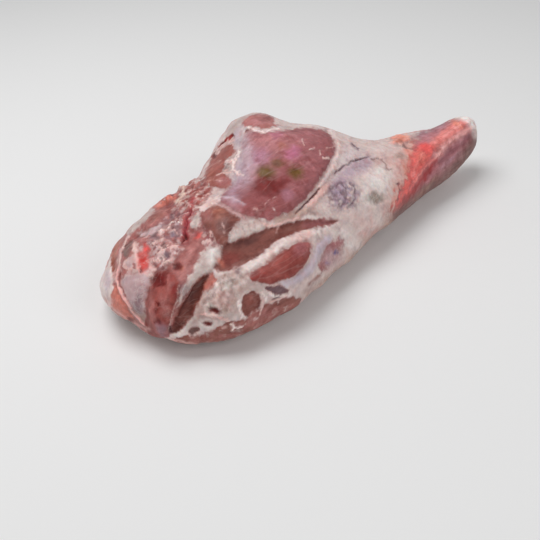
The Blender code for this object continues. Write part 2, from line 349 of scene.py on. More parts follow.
# The big round muscle on top, its patches, and the muscles beside and behind it.
TOPSIDE = {
    "topside": area("topside pink", [(241, 137), (246, 133), (254, 130), (267, 131), (278, 132),
        (286, 130), (296, 128), (305, 127), (315, 127), (324, 129), (330, 133), (336, 141),
        (336, 147), (333, 157), (328, 166), (320, 180), (313, 189), (305, 199), (296, 208),
        (290, 212), (281, 214), (275, 220), (266, 221), (258, 218), (249, 217), (240, 214),
        (231, 209), (222, 203), (216, 199), (224, 193), (234, 186), (240, 174), (243, 160),
        (241, 148)], 1.8, edge=12, soft=1.8, ragged=0.8),
    # Painted light on the top of the dome (upper pink), and painted shade on its right and lower
    # sides (the brown spots there).
    "upper pink light": spot("pale pink", (272, 142), (36, 13), 0.65),
    "left pink": spot("pale pink", (254, 160), (14, 22), 0.5),
    "right brown shade": spot("topside brown", (312, 184), (18, 28), 0.25, -25),
    "lower brown shade": spot("topside brown", (260, 206), (40, 17), 1, -8),
    "middle brown": spot("topside brown", (286, 166), (14, 13), 0.75),
    "right corner": spot("topside brown", (328, 146), (12, 14), 0.6),
    "magenta patch": spot("magenta", (293, 153), (10, 9), 0.7),
    "magenta head": spot("magenta", (276, 134), (8, 5), 0.4),
    # Painted sheen: a violet reflection on the wet muscle.
    "violet sheen patch": spot("violet sheen", (259, 156), (15, 13), 0.75),
    "ochre patch": spot("ochre", (282, 146), (6, 5), 0.6),
    "olive patch": spot("olive", (266, 173), (13, 10), 1, -30),
    "olive head": spot("olive", (277, 163), (9, 6), 0.7),
    "olive far": spot("olive", (296, 173), (10, 9), 0.95),
    "maroon patch": spot("maroon", (267, 187), (20, 13), 1, -12),
    "maroon core": spot("maroon", (264, 186), (14, 9), 0.9, -10),
    "maroon arm": spot("maroon", (281, 182), (12, 8), 0.8, 20),
    # Painted sheen: a fainter violet reflection low on the dome.
    "violet sheen foot": spot("violet sheen", (288, 195), (9, 7), 0.45),
    "silverskin haze": streak("silver", [(238, 131), (243, 142), (247, 155), (246, 168),
        (243, 178)], 13, soft=7, strength=0.65),
    "silverskin strip": strand("silver", [(235, 131), (238, 142), (240, 155), (239, 167),
        (237, 175)], 7, 0.3, soft=4, strength=0.8),
    "lavender foot": streak("lavender", [(242, 170), (238, 182), (232, 191), (234, 197)], 11,
        soft=8, strength=0.65),
    "lavender rim": streak("silver", [(222, 197), (230, 197), (238, 201), (244, 204)], 3.5, 0.3,
        soft=2.6, strength=0.5),
    "crest lean": area("rose lean", [(240, 122), (245, 116), (254, 113), (263, 113), (269, 115),
        (276, 118), (281, 122), (279, 126), (272, 128), (265, 129), (258, 128), (250, 127),
        (243, 127)], 0.6, soft=2.6, ragged=1.5),
    "crest pale": spot("pale pink", (259, 121), (17, 5), 0.75, 8),
    "crest dark": spot("dark lean", (266, 119), (9, 3), 0.45, 10),
    "crest rim": strand("grey fat", [(229, 137), (233, 128), (238, 120), (244, 114), (252, 110)],
        8, 0.3, soft=3, ragged=1),
    "crest hole": strand("maroon", [(246, 131), (251, 129)], 2.6, -1),
    "crest seam": strand("white fat", [(248, 127), (255, 130), (260, 132), (266, 131), (272, 129),
        (279, 128)], 2.6, 0.8),
    "crest fat": strand("cream", [(277, 121), (290, 123), (310, 123), (330, 128), (348, 136)], 7,
        0.3, soft=2.5),
    "crest corner": spot("grey brown", (326, 130), (3, 2), 0.7),
    "flank lean": area("warm lean", [(218, 150), (225, 145), (232, 144), (236, 148), (233, 156),
        (228, 161), (224, 166), (220, 171), (231, 177), (233, 184), (227, 190), (219, 189),
        (212, 187), (204, 182), (204, 174), (209, 162), (213, 155)], 0.9, edge=5, ragged=1.2),
    "flank dark": spot("dark lean", (226, 168), (8, 4), 0.6, 20),
    "flank rose": spot("topside pink", (224, 182), (10, 6), 0.6),
    "flank warm": spot("ochre", (211, 176), (6, 9), 0.4),
    "flank thread": streak("pinkish fat", [(208, 168), (215, 163), (221, 160)], 1.8, 0.4,
        soft=1.3, ragged=1.5, strength=0.5),
    "flank thread low": streak("pinkish fat", [(206, 181), (214, 179), (222, 181)], 1.8, 0.4,
        soft=1.3, ragged=1.5, strength=0.5),
    "crest slit": strand("maroon", [(214, 156), (221, 146), (228, 138), (233, 136)], 4.5, -1.4,
        soft=1.5),
    "crest slit red": spot("blood", (228, 139), (5, 3), 0.5, 40),
    "crest slit edge": strand("pinkish fat", [(217, 154), (222, 147), (228, 142), (234, 140)],
        2.2, 0.8, ragged=1),
    "split sinew": strand("white fat", [(238, 152), (235, 160), (228, 163)], 4.4, 1, soft=2.2,
        ragged=2),
    "split sinew end": strand("white fat", [(233, 163), (235, 170), (240, 175)], 3.6, 0.9,
        soft=2.2, ragged=2),
    "small sinew": strand("pinkish fat", [(219, 174), (225, 172), (230, 172)], 3, 0.8,
        ragged=1.5),
    "topside border": strand("white fat", [(331, 131), (338, 141), (339, 150), (335, 162),
        (328, 174), (320, 186)], 6, 0.7, soft=3),
    "slit edge": strand("pinkish fat", [(327, 186), (318, 197), (308, 208), (298, 216)], 6, 0.9,
        soft=2.5),
    # Painted shade inside the slit at the topside's edge.
    "topside slit": strand("dark slit", [(320, 188), (314, 195), (307, 202), (300, 209),
        (296, 213)], 2.2, -1.6, ragged=0.3, strength=0.8),
    "topside foot": strand("dull brown fat", [(277, 220), (287, 217), (296, 214), (306, 210)], 6, 0.4,
        soft=3),
    "fleck a": strand("pinkish fat", [(310, 149), (314, 148)], 1.8, 0.4, strength=0.8),
    "fleck b": strand("pinkish fat", [(302, 139), (304, 145)], 1.8, 0.4, strength=0.7),
    "fleck c": strand("pinkish fat", [(320, 151), (320, 155)], 1.8, 0.4, strength=0.8),
    "fleck d": strand("pinkish fat", [(323, 158), (328, 158)], 2, 0.5),
    "fleck e": strand("pinkish fat", [(327, 148), (334, 146)], 1.8, 0.4, strength=0.7),
    "fleck f": strand("pinkish fat", [(265, 206), (267, 202), (272, 198), (277, 197)], 1.8, 0.4,
        strength=0.6),
    "fleck g": spot("white fat", (273, 209), (2, 1.6)),
    "fleck h": spot("pinkish fat", (256, 210), (3, 1.6), 0.7, -20),
}

# The muscles, bands and seams below the topside, down to the near edge.
STRIPS = {
    # Painted shade in the seam below the topside: a grey shade with a darker spot in it.
    "seam shade": spot("grey fat", (316, 212), (14, 6), 0.7, -20),
    "seam shade spot": spot("grey brown", (313, 213), (5, 3), 0.5),
    "round muscle": area("brown lean", [(200, 214), (205, 208), (213, 205), (222, 206),
        (229, 210), (236, 215), (243, 219), (239, 223), (233, 227), (229, 234), (228, 243),
        (222, 248), (214, 241), (208, 231), (202, 222)], 2.4, edge=11, soft=2.4, ragged=0.8),
    "round muscle light": spot("ochre", (219, 213), (8, 9), 0.6),
    "round muscle rose": spot("rose lean", (207, 215), (6, 8)),
    "round muscle shade": spot("dark lean", (225, 226), (11, 15), 0.9, -15),
    "round muscle fleck": streak("pinkish fat", [(223, 222), (225, 227), (224, 232)], 1.6, 0.4,
        soft=1, ragged=1.5, strength=0.5),
    "round muscle edge": strand("pale pink", [(212, 203), (223, 205), (230, 210), (237, 214),
        (244, 217)], 2.4, 0.9, ragged=0.4, strength=0.85, tissue="fat"),
    "ribbed fat": area("grey fat", [(227, 234), (232, 227), (242, 222), (254, 219), (265, 219),
        (268, 223), (261, 229), (252, 235), (241, 240), (231, 243)], 1.5, soft=2.2, ragged=1.5),
    "ribbed fat light": spot("cream", (252, 226), (14, 4), 0.35, 20),
    **{
        f"rib {n}": streak(
            "grey fat", [(236 + 6 * n, 228 - 2 * n), (239 + 6 * n, 236 - 2 * n)], 2, -0.3,
            strength=0.4,
        )
        for n in range(5)
    },
    "upper strip": area("brown lean", [(219, 246), (231, 242), (241, 238), (254, 234), (265, 228),
        (276, 225), (286, 223), (300, 220), (315, 219), (329, 219), (340, 221), (332, 224),
        (320, 228), (305, 231), (296, 234), (282, 238), (274, 242), (268, 249), (259, 257),
        (250, 262), (238, 267), (229, 271), (221, 273), (214, 269), (212, 258)], -1.6, ragged=1),
    "upper strip red": spot("red lean", (230, 260), (14, 9), 0.85, 20),
    "upper strip shade": spot("dark lean", (244, 243), (20, 5), 0.8, 22),
    "upper strip pink": spot("topside pink", (318, 223), (22, 5), 0.7, 8),
    "upper strip tick": streak("pinkish fat", [(278, 226), (277, 232)], 2, 0.3, soft=1.3,
        strength=0.5),
    "thin seam": strand("pinkish fat", [(264, 224), (268, 227), (275, 226), (286, 221),
        (300, 218)], 2.4, 0.6, soft=1.2),
    "white band": strand("cream", [(244, 271), (257, 263), (267, 257), (275, 250), (283, 245),
        (293, 240), (304, 236), (318, 232)], 9.5, 1.1, soft=3.2, ragged=1.2),
    "white band foot": streak("dull brown fat", [(248, 274), (262, 265), (277, 253), (290, 244),
        (304, 239)], 3, soft=2.5, strength=0.3),
    "white band pink": spot("pinkish fat", (303, 236), (18, 5), 0.7, 15),
    "lower strip": area("red lean", [(245, 278), (254, 271), (263, 265), (275, 257), (282, 250),
        (292, 245), (303, 242), (312, 241), (311, 252), (306, 265), (298, 275), (286, 281),
        (273, 284), (261, 284), (251, 282)], 1.8, edge=9, soft=2.2, ragged=0.8),
    "lower strip pink": spot("topside pink", (301, 249), (13, 9), 0.8, 40),
    "lower strip dark": spot("maroon", (258, 276), (12, 5), 0.5, 12),
    "mottled triangle": area("topside pink", [(328, 241), (341, 237), (347, 240), (338, 254),
        (330, 268), (318, 274), (319, 262), (322, 250)], 0.3, soft=4.5, ragged=2, strength=0.9),
    "triangle lilac": spot("lilac", (332, 258), (14, 13), 0.8, 40),
    "triangle violet": spot("violet spot", (336, 252), (4, 3), 0.9),
    "triangle violet low": spot("violet spot", (327, 263), (4, 3), 0.4),
    "silver seam": strand("silver", [(328, 239), (321, 246), (316, 257), (311, 268), (303, 276),
        (294, 281), (284, 284)], 8, 1, soft=2),
    "brown flake": streak("brown lean", [(309, 284), (320, 275)], 3),
    "grey lens": area("dark lilac", [(265, 288), (273, 286), (282, 285), (290, 289), (288, 292),
        (281, 294), (273, 294), (267, 291)], -0.8, edge=3, soft=1.5),
    "lower fat": area("grey fat", [(216, 276), (230, 270), (244, 268), (246, 277), (252, 283),
        (264, 286), (263, 293), (246, 290), (240, 300), (239, 314), (228, 318), (212, 318),
        (196, 322), (184, 330), (178, 334), (190, 316), (197, 296), (205, 284)], 0.4, soft=3,
        ragged=2),
    "lower fat mottle": mottle([(214, 280), (228, 272), (244, 274), (250, 284), (236, 292),
        (236, 306), (222, 316), (206, 316), (200, 304), (210, 292)], [("tint", "moss grey", 0.5),
        ("tint", "white fat", 0.5), ("tint", "dull brown fat", 0.8), ("tint", "cream", 0.5),
        ("tint", "grey brown", 0.5)], 0.0055, 0.6, shift=5),
    "fat mark": spot("dark lilac", (238, 270), (5, 3), 0.7, 40),
    "lower fat light": spot("pinkish fat", (222, 300), (16, 10), 0.4),
    "brown window": area("brown lean", [(243, 295), (251, 291), (260, 293), (262, 302),
        (258, 308), (253, 313), (246, 317), (240, 310), (241, 301)], -0.9, edge=4, ragged=1.2),
    "window light": spot("warm lean", (250, 301), (8, 8), 0.45),
    "bottom lean": area("brown lean", [(263, 304), (272, 303), (280, 300), (288, 296), (299, 297),
        (303, 301), (286, 317), (262, 332), (236, 344), (200, 352), (166, 347), (172, 338),
        (186, 336), (200, 334), (208, 331), (218, 326), (228, 321), (242, 320), (252, 315),
        (260, 309)], 0.5, ragged=1.5),
    "bottom lean rose": spot("rose lean", (262, 316), (24, 9), 0.7, 25),
    "bottom flecks": mottle([(186, 336), (206, 332), (226, 324), (250, 318), (276, 306),
        (298, 300), (280, 318), (256, 332), (228, 342), (200, 346)], [("fat", "dull brown fat", 0.45),
        ("tint", "brown lean", 0.5), ("tint", "rose lean", 0.5)], 0.006, 0.5, shift=15),
    "orange spot": area("orange lean", [(203, 278), (209, 274), (215, 275), (216, 281),
        (212, 290), (204, 293), (200, 287)], -0.6, edge=4, ragged=1.5),
    "white grain": spot("white fat", (216, 284), (3, 3), 0.9, rise=0.5),
    "bright strand": strand("white fat", [(262, 293), (268, 297), (266, 300)], 3, 1.1, ragged=1),
    "bright strand far": strand("white fat", [(270, 295), (280, 297), (291, 294)], 2.4, 0.9,
        ragged=1),
    "bright strand low": strand("pinkish fat", [(271, 301), (279, 300), (286, 297)], 1.8, 0.7,
        ragged=1),
    "strand gap": spot("dark lilac", (275, 298), (5, 1.5), rise=-0.5),
    "window strand": strand("white fat", [(239, 301), (240, 309), (242, 315), (240, 319)], 2.2,
        0.8, ragged=1),
    "window strand far": strand("pinkish fat", [(262, 300), (263, 308), (260, 314)], 2.4, 0.7,
        ragged=1),
    "dark hole": spot("maroon", (215, 311), (8, 4.5), 1, -15, ragged=1, rise=-2.2, tissue="lean"),
    "dark hole low": spot("maroon", (208, 323), (6, 3.5), 0.9, ragged=0.5, rise=-1.6,
        tissue="lean"),
    "white ridge": strand("pinkish fat", [(202, 313), (211, 317), (219, 318), (229, 320)], 2.6,
        1.2, ragged=1.2),
    "white star": strand("white fat", [(231, 325), (236, 328), (241, 327)], 2.8, 1, ragged=1),
    "white star foot": strand("white fat", [(236, 328), (232, 331)], 2.6, 0.8),
    "pink fleck": spot("white fat", (257, 319), (2.5, 2), 0.7),
    "pink fleck left": spot("pinkish fat", (225, 327), (2.5, 2), 0.7),
    "bottom rim": streak("pinkish fat", [(164, 337), (183, 342), (204, 345), (222, 343)], 2.4,
        0.3, soft=1.5, strength=0.7),
}

# The cut end: the tongue, the groove, the membranes and the ragged cut.
CHUMP = {
    "chump base": area("rose lean", [(94, 290), (102, 270), (114, 245), (134, 220), (168, 190),
        (205, 176), (214, 190), (205, 204), (200, 214), (206, 226), (218, 242), (212, 254),
        (196, 274), (184, 292), (172, 332), (160, 344), (118, 322), (98, 302)], soft=3, ragged=2),
    "cut end veil": area("lilac", [(150, 230), (160, 222), (172, 210), (184, 204), (188, 216),
        (182, 230), (182, 242), (176, 256), (168, 266), (156, 270), (150, 260), (146, 244)], 0.6,
        soft=5, ragged=2.5, strength=0.85),
    "ragged cut": mottle([(138, 232), (150, 224), (163, 214), (172, 205), (186, 200), (198, 210),
        (200, 226), (190, 240), (182, 252), (174, 264), (158, 272), (148, 272), (146, 256),
        (140, 244)], [("lean", "rose lean", 0.75), ("fat", "pinkish fat", 0.7),
        ("lean", "dark lilac", 0.7), ("lean", "rose lean", 0.6)], 0.0065, 1.2, soft=4),
    "web line": strand("pinkish fat", [(152, 242), (160, 250), (168, 246), (176, 248)], 2.2, 0.9,
        ragged=2),
    "web line low": strand("pinkish fat", [(154, 262), (162, 254), (165, 262), (172, 262)], 2.2,
        0.9, ragged=2),
    "web line high": strand("white fat", [(160, 232), (168, 228), (172, 222), (180, 222)], 2.2,
        0.9, ragged=2),
    "veil spot": spot("dark lilac", (172, 217), (4, 4), 0.9, rise=-0.8),
    "veil spot left": spot("dark lilac", (155, 237), (6, 3), 0.9, -10, rise=-0.8),
    "veil spot mid": spot("grey mottle", (173, 235), (5, 4), 0.9, rise=-0.6),
    "veil spot low": spot("grey mottle", (168, 255), (4, 5), rise=-0.5),
    "veil spot dark": spot("dark lean", (163, 245), (3, 3), rise=-0.8),
    "ragged top": mottle([(176, 204), (184, 192), (196, 186), (206, 180), (212, 190), (206, 200),
        (198, 210), (186, 208)], [("lean", "warm lean", 0.8), ("fat", "dull brown fat", 0.7),
        ("lean", "red lean", 0.8), ("fat", "pinkish fat", 0.5)], 0.0055, 1.3, soft=4, shift=9),
    "top pink": spot("crimson", (192, 202), (6, 6), 0.5),
    "crag": spot("dull brown fat", (181, 187), (6, 4), 0.6, ragged=2.5, rise=4.5, tissue="fat"),
    "crag low": spot("orange lean", (167, 199), (6, 4), ragged=2.5, rise=4, tissue="lean"),
    "crag high": spot("warm lean", (195, 183), (5, 4), ragged=2.5, rise=3, tissue="lean"),
    "web by the strip": mottle([(203, 236), (208, 229), (213, 232), (218, 241), (221, 247),
        (210, 248), (202, 244)], [("fat", "pinkish fat", 1), ("lean", "dark mauve", 0.5),
        ("fat", "pinkish fat", 0.7)], 0.004, 0.7, shift=21),
    "white island": area("white fat", [(198, 208), (205, 200), (214, 196), (222, 196), (217, 203),
        (207, 207), (200, 214)], 1, edge=4, ragged=1.5),
    "island blush": spot("pinkish fat", (209, 203), (9, 6), 0.6),
    "white column": area("grey fat", [(190, 214), (197, 211), (201, 218), (199, 228), (192, 231),
        (189, 224)], 0.8, edge=4, soft=2.2, ragged=1.5),
    "yellow edge": area("yellow fat", [(172, 204), (176, 199), (181, 192), (184, 186), (188, 189),
        (185, 198), (179, 206)], 0.8, edge=4, soft=2.5, ragged=2, strength=0.7),
    "upper left lean": area("rose lean", [(143, 222), (151, 214), (159, 209), (170, 207),
        (168, 214), (160, 222), (151, 229), (143, 232)], 1.2, edge=5, soft=1.8),
    "lilac by the rim": strand("lilac", [(142, 234), (150, 233), (160, 227)], 5, 0.4, soft=3),
    "upper left shade": spot("brown lean", (156, 216), (13, 6), 0.7, 28),
    "red fold": strand("orange lean", [(157, 206), (165, 202), (174, 197)], 6, 0.8, soft=2),
    "dark fold line": strand("maroon", [(162, 199), (167, 196), (173, 195)], 2, -0.6),
    "crimson cleft": strand("crimson", [(191, 213), (187, 222), (184, 232), (186, 241)], 6.5,
        -2.4, soft=2.4, ragged=1.2),
    "cleft pink": spot("crimson", (197, 236), (6, 4), 0.5, -20),
    "crimson cleft foot": spot("maroon", (185, 239), (4, 5), 1, ragged=1, rise=-2, tissue="lean"),
    "strip by the tongue": area("rose lean", [(176, 263), (183, 251), (191, 241), (198, 234),
        (205, 230), (201, 241), (195, 254), (189, 264), (182, 271)], 1, edge=5, ragged=1),
    "strip red": spot("blood", (198, 237), (5, 3), 0.6, 45),
    "strip foot dark": spot("maroon", (178, 267), (5, 5), rise=-1.2, tissue="lean"),
    "strip foot orange": spot("ochre", (182, 269), (3, 3)),
    "pale band": area("grey fat", [(205, 248), (213, 246), (221, 249), (222, 258), (215, 267),
        (206, 275), (197, 282), (189, 291), (183, 300), (178, 309), (177, 300), (182, 288),
        (189, 277), (195, 266), (199, 256)], 1.4, soft=3, ragged=1.5),
    "pale band top": spot("bone white", (212, 257), (8, 9), 0.75, -30),
    "pale band shade": spot("dark lilac", (186, 291), (7, 13), 0.5, 35),
    "pale band warm": spot("orange fat", (221, 262), (4, 8), 0.5, 20),
    "groove": area("brown lean", [(209, 274), (205, 284), (202, 294), (198, 304), (193, 315),
        (187, 324), (179, 333), (171, 332), (174, 320), (178, 309), (184, 297), (192, 286),
        (202, 275)], -3, edge=7, soft=2.2, ragged=0.8),
    "groove shade": streak("maroon", [(193, 288), (186, 299), (180, 312), (174, 325)], 4, -0.8,
        soft=3, strength=0.4),
    "groove wall": streak("ochre", [(206, 279), (200, 292), (194, 305), (187, 317)], 5, soft=3,
        strength=0.35),
    # Painted shade inside the hole at the groove's end.
    "groove hole": spot("dark slit", (171, 329), (3, 4), 1, rise=-1.5, tissue="lean"),
    "small hollow": area("grey brown", [(187, 332), (192, 327), (199, 326), (198, 331),
        (190, 335)], -0.8, edge=3, soft=1.5),
    "pale web": mottle([(133, 242), (142, 245), (146, 252), (150, 262), (156, 270), (148, 276),
        (134, 274), (122, 276), (119, 267), (127, 258), (131, 250)],
        [("fat", "pinkish fat", 0.95), ("film", "lilac", 0.9)], 0.007, 0.6, shift=2),
    "web band": strand("pinkish fat", [(134, 245), (136, 256), (137, 267), (145, 275),
        (153, 276)], 6, 0.6, soft=3, ragged=1.5, strength=0.9),
    "lilac membrane": area("lilac", [(122, 276), (133, 273), (147, 274), (151, 281), (149, 290),
        (146, 300), (145, 313), (141, 315), (135, 311), (129, 303), (125, 293), (120, 283)], 1.2,
        edge=9, soft=2.5, ragged=0.8),
    "membrane shade": spot("dark lilac", (139, 305), (7, 12), 0.8, -8),
    "membrane foot": area("dull brown fat", [(134, 311), (140, 314), (145, 314), (147, 321),
        (146, 326), (139, 320)], 0.5, edge=3, soft=1.8),
    "orange lean": area("orange lean", [(111, 288), (115, 284), (121, 295), (126, 304),
        (130, 311), (135, 319), (127, 322), (118, 317), (111, 307), (109, 297)], 0.7, edge=5),
    "fat cap": area("cream", [(94, 290), (97, 279), (102, 269), (108, 260), (114, 253),
        (113, 265), (115, 277), (112, 289), (110, 299), (113, 309), (103, 305), (96, 299)], 1),
    "fat cap lilac": spot("lavender", (107, 282), (5, 13), 0.55),
    "fat cap foot": spot("pinkish fat", (108, 300), (7, 6), 0.6),
    "red under the rim": spot("red lean", (121, 276), (2.5, 5), rise=-0.5),
    "rim window": area("grey brown", [(122, 252), (127, 244), (134, 240), (130, 251), (125, 260)],
        -0.6, edge=3, soft=1.8),
    "brown strip": strand("ochre", [(114, 270), (113, 257), (117, 243), (125, 232), (131, 226)],
        4.5, -0.4, soft=1.8),
    "rim line": strand("pinkish fat", [(119, 268), (119, 258), (123, 247), (129, 237)], 2.8, 0.8),
    "grey rim": strand("grey fat", [(129, 233), (136, 225), (143, 219), (152, 210)], 5, 0.5,
        soft=2, ragged=1),
    "pink ridge": strand("pale stripe", [(118, 268), (116, 276), (117, 284), (121, 293),
        (126, 301), (130, 309), (137, 318), (146, 325)], 3.4, 1.2),
    "blood spot": spot("blood", (143, 263), (8, 12), 1, 15),
    "blood tail": spot("blood", (146, 250), (4.5, 9), 0.9, 5),
    "blood dark": spot("maroon", (142, 270), (3, 2.5), rise=-0.8),
    "tongue": area("red lean", [(156, 272), (166, 270), (174, 274), (179, 281), (179, 290),
        (177, 299), (174, 309), (171, 320), (168, 334), (160, 341), (151, 336), (146, 329),
        (145, 318), (147, 305), (150, 293), (153, 282)], 2.6, edge=9, soft=1.8, ragged=0.6),
    "tongue head": spot("maroon", (161, 279), (12, 9), 1, 20, rise=-1.6),
    "tongue head core": spot("maroon", (158, 282), (6, 5), 1, rise=-0.8),
    "tongue side": spot("maroon", (175, 291), (5, 12), 0.8, 15),
    "tongue pink": spot("rose lean", (151, 308), (5, 24), 0.7, 8),
    "tongue light": spot("rose lean", (164, 306), (6, 15), 0.65, 12),
    "tongue ridge": streak("rose lean", [(168, 276), (168, 289), (166, 303)], 3.5, 0.6, soft=3,
        strength=0.5),
    "tongue mark": spot("maroon", (158, 303), (3, 3), 0.9, rise=-0.7),
    "tongue mark mid": spot("maroon", (155, 312), (4, 4), 0.7, rise=-0.6),
    "tongue mark low": spot("maroon", (158, 321), (4, 3), 0.9, rise=-0.9),
    "tongue end": spot("grey mottle", (162, 329), (8, 9), 0.6, 20),
    "tongue edge": strand("dull brown fat", [(179, 286), (177, 299), (174, 309), (171, 320),
        (169, 330)], 2.2, 0.9, strength=0.5),
    "chump foot": streak("pinkish fat", [(108, 305), (120, 315), (134, 323), (148, 330)], 2.6,
        0.3, strength=0.7),
    "foot dark": spot("maroon", (131, 320), (4, 2.5), 0.8, -30, rise=-0.5),
}

# The side away from the camera: millimetres along the leg and above its rest.
FAR_SIDE = {
    "far blush": mottle([(-190, 10), (190, 10), (190, 60), (60, 90), (-60, 90), (-190, 60)],
        [("tint", "pinkish fat", 0.6), ("tint", "cream", 0.3), ("tint", "grey fat", 0.5)], 0.022,
        0.5, soft=10, shift=4),
    "far crest lean": area("warm lean", [(-10, 94), (4, 97), (22, 93), (38, 88), (42, 76),
        (34, 64), (16, 62), (4, 57), (-12, 62), (-18, 72), (-14, 82)], 0.9, edge=9, soft=4.5,
        ragged=2.5),
    "far crest rose": spot("topside pink", (6, 82), (22, 8), 0.6, 8),
    "far crest shade": spot("red lean", (20, 68), (16, 6), 0.5, -12),
    "far flank lean": area("rose lean", [(-28, 84), (-24, 66), (-32, 50), (-52, 42), (-74, 46),
        (-86, 60), (-74, 74), (-50, 82)], 1.2, edge=9, soft=2.6),
    "far flank shade": spot("red lean", (-52, 56), (18, 9), 0.6, -10),
    "far seam": strand("white fat", [(-14, 92), (-23, 74), (-30, 52), (-56, 36), (-92, 38)], 6, 1,
        soft=3, ragged=1.5),
    "far thigh lean": area("brown lean", [(64, 58), (88, 50), (104, 38), (92, 27), (60, 22),
        (22, 26), (-4, 38), (8, 49), (36, 55)], 1.4, edge=12, soft=4),
    "far thigh rose": spot("topside pink", (62, 46), (26, 8), 0.7, -12),
    "far thigh band": strand("grey fat", [(-6, 42), (20, 44), (46, 37), (72, 40), (98, 31)], 4,
        0.8, soft=3, ragged=2.5, strength=0.8),
    "far vein": streak("dark lilac", [(-70, 30), (-40, 24), (-14, 28), (14, 18), (50, 14)], 2.2,
        0.3, soft=1.6, strength=0.6),
    "far ragged cut": mottle([(-158, 62), (-128, 66), (-98, 74), (-88, 58), (-100, 40),
        (-124, 30), (-150, 36)], [("lean", "dark mauve", 0.7), ("fat", "pinkish fat", 0.9),
        ("lean", "rose lean", 0.9), ("film", "lilac", 0.8)], 0.008, 1.2, shift=6),
    "far chump lean": area("rose lean", [(-192, 40), (-172, 50), (-156, 48), (-142, 34),
        (-148, 18), (-172, 12), (-196, 22)], 1, edge=8, soft=2.6),
    "far chump rim": strand("pinkish fat", [(-196, 30), (-168, 30), (-140, 22), (-112, 24)], 4, 1,
        soft=2, ragged=1.5),
    "far shank": area("mauve", [(96, 64), (130, 66), (170, 64), (190, 58), (190, 30), (166, 12),
        (124, 6), (98, 14), (88, 40)], 0.6, edge=10, soft=4, ragged=2),
    "far shank red": area("shank red", [(88, 68), (104, 72), (120, 66), (126, 57), (112, 50),
        (128, 40), (114, 31), (122, 20), (108, 10), (97, 18), (88, 30), (96, 42), (84, 54)],
        soft=9, ragged=4, strength=0.8),
    "far red streak": streak("shank red", [(108, 59), (132, 58), (158, 54)], 5, soft=5, ragged=2,
        strength=0.5),
    "far red deep": spot("crimson", (104, 32), (9, 15), 0.45, -15),
    "far shank stripe": streak("pale stripe", [(108, 45), (134, 50), (164, 45), (196, 43)], 5,
        0.5, soft=4, strength=0.75),
    "far shank line": streak("dark mauve", [(112, 28), (146, 26), (186, 28)], 4, -0.5, soft=2.5),
}
PHOTO_FORMS = [KNEE, SHANK, TOPSIDE, STRIPS, CHUMP]


def linear(colour):
    """8-bit sRGB to linear light."""
    share = np.array(colour) / 255
    return np.where(share <= 0.04045, share / 12.92, ((share + 0.055) / 1.055) ** 2.4)


def smooth_step(low, high, x):
    t = np.clip((x - low) / (high - low), 0, 1)
    return t * t * (3 - 2 * t)


def camera_axes():
    """The camera's right, up and back, in the leg's frame."""
    yaw, pitch, roll = CAMERA_YAW, CAMERA_PITCH, CAMERA_ROLL
    back = np.array([
        math.sin(yaw) * math.cos(pitch), -math.cos(yaw) * math.cos(pitch), math.sin(pitch)
    ])
    level = np.array([math.cos(yaw), math.sin(yaw), 0.0])
    rise = np.cross(back, level)
    right = math.cos(roll) * level + math.sin(roll) * rise
    up = -math.sin(roll) * level + math.cos(roll) * rise
    return right, up, back


def photo_pixels(points):
    """Where points show in the photo: pixels across and down."""
    right, up, back = camera_axes()
    offset = points - np.array(CAMERA_PLACE)
    away = -(offset @ back)
    focal = PHOTO_SIDE * LENS_MM / SENSOR_MM
    across = PHOTO_SIDE / 2 + focal * (offset @ right) / away
    down = PHOTO_SIDE / 2 - focal * (offset @ up) / away
    return np.stack([across, down], axis=-1)


def path_gap(spots, path):
    """How far each spot is from the path."""
    gap = np.full(len(spots), np.inf)
    for start, end in zip(path[:-1], path[1:]):
        run = end - start
        share = np.clip((spots - start) @ run / max(run @ run, TINY), 0, 1)
        gap = np.minimum(gap, np.hypot(*(spots - start - share[:, None] * run).T))
    return gap


def outline_depth(spots, outline):
    """How far each spot is inside the outline, negative outside."""
    ring = np.concatenate([outline, outline[:1]])
    inside = np.zeros(len(spots), bool)
    x, y = spots.T
    for (x0, y0), (x1, y1) in zip(ring[:-1], ring[1:]):
        if y0 != y1:
            crosses = (y0 > y) != (y1 > y)
            inside ^= crosses & (x < x0 + (y - y0) * (x1 - x0) / (y1 - y0))
    gap = path_gap(spots, ring)
    return np.where(inside, gap, -gap)


def noise_at(points, size, shift, octaves=2):
    """Smooth noise, from about -1 to 1, whose lumps are about size across."""
    scaled = points / size + shift
    return np.array([noise.fractal(p, NOISE_FALL, NOISE_STEP, octaves) for p in scaled])


